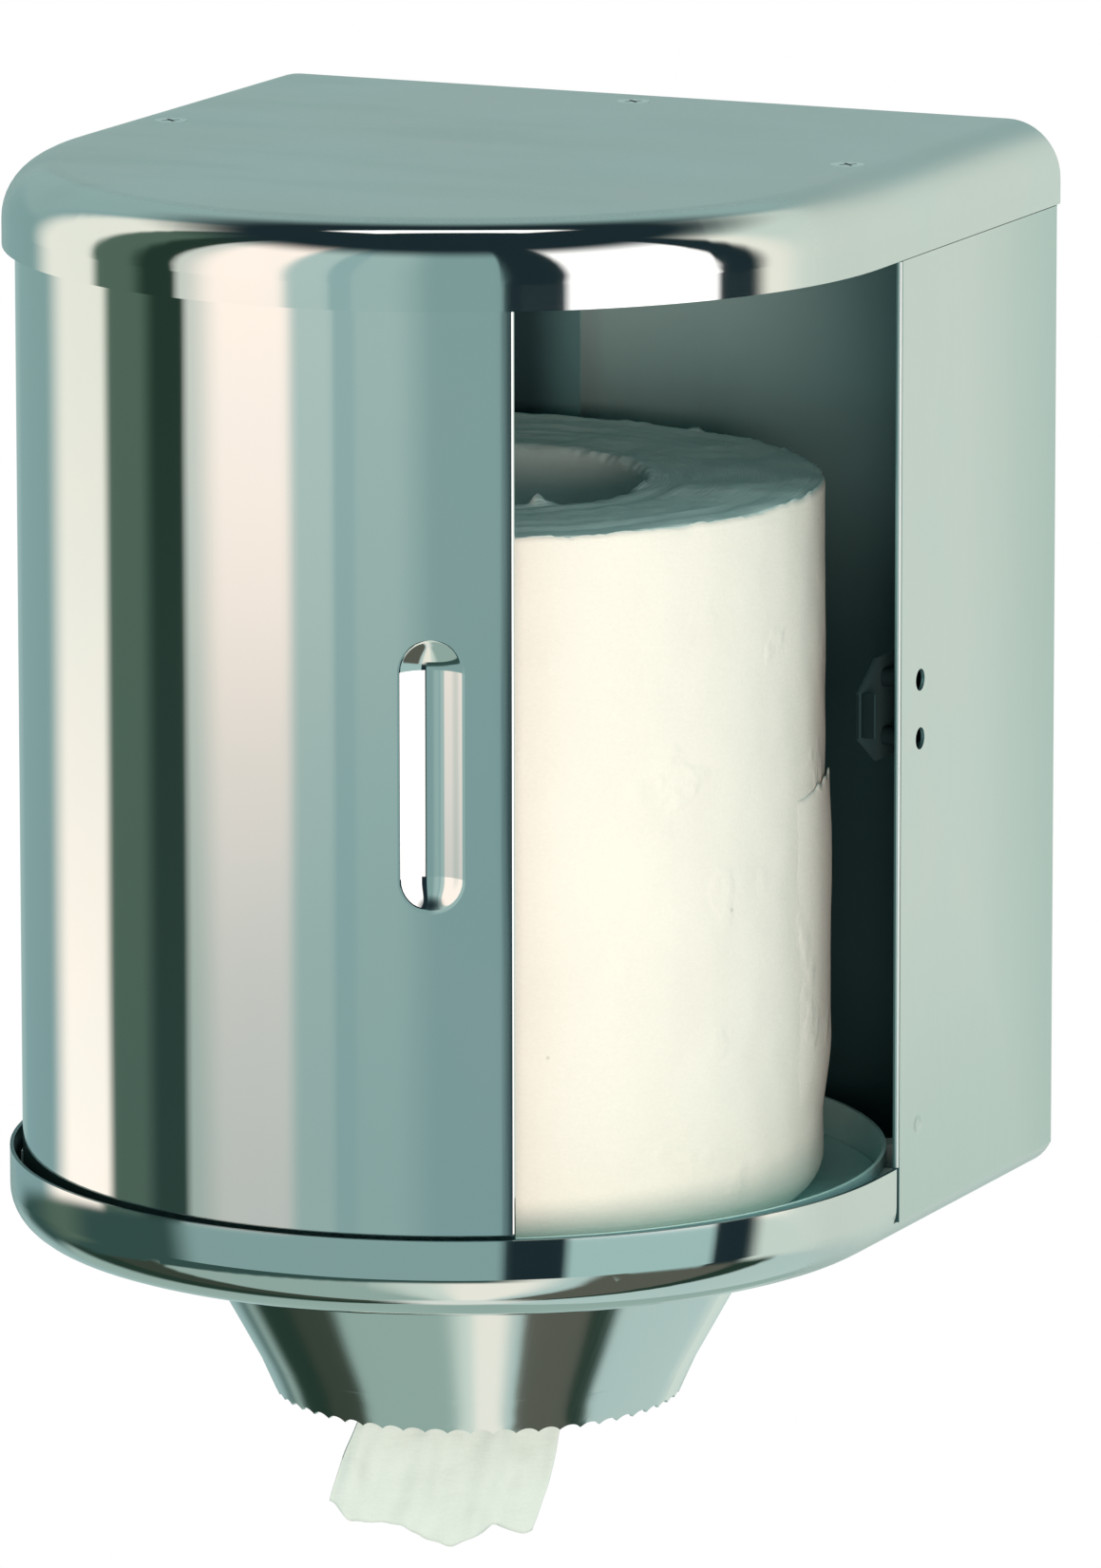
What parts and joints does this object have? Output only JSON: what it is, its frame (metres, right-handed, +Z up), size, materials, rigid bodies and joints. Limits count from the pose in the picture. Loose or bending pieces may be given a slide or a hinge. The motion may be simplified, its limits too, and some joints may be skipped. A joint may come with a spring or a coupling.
{
  "type": "centre pull towel dispenser",
  "caption": "Wall mounted stainless centre pull towel dispenser, round in front, with a curved sliding door, a key lock, a paper roll inside and a scalloped tearing funnel below.",
  "frame": {"origin": "centre of the four wall holes, on the back plate's rear face, which is the wall plane", "axes": "+Z up, -Y out of the wall towards the user, +X to the user's right"},
  "size_m": [0.245, 0.2485, 0.384],
  "materials": {
    "satin_steel": "satin",
    "polished_steel": "polished",
    "track_steel": "satin",
    "screw_steel": "satin",
    "dark_spring_steel": "blackened",
    "nylon": "matte",
    "towel_paper": "creped paper"
  },
  "bodies": {
    "casing": {"body_shell": "satin_steel", "top_cap": "satin_steel", "cap_brackets": "track_steel", "upper_track": "track_steel", "cap_screws": "screw_steel", "cap_nuts": "screw_steel", "bottom_pan": "polished_steel", "lower_track": "track_steel", "roll_plate": "track_steel", "funnel": "polished_steel", "funnel_rivets": "screw_steel", "door_stops": "nylon", "lock_bracket": "dark_spring_steel", "paper_roll": "towel_paper", "paper_tail": "towel_paper"},
    "door": {"door_panel": "polished_steel", "upper_glides": "nylon", "lower_glides": "nylon"},
    "lock": {"lock_tongue": "dark_spring_steel", "lock_studs": "dark_spring_steel"}
  },
  "joints": [
    {"name": "door_slide", "type": "hinge", "parent": "casing", "child": "door", "pos_m": [0, -0.126, 0], "axis": [0, 0, 1], "range_deg": [-63.4, 70]},
    {"name": "lock_press", "type": "hinge", "parent": "casing", "child": "lock", "pos_m": [0.1116, -0.0643, 0], "axis": [0, 0, 1], "range_deg": [-4, 1.1], "stiffness_Nm_per_rad": 0.6}
  ]
}
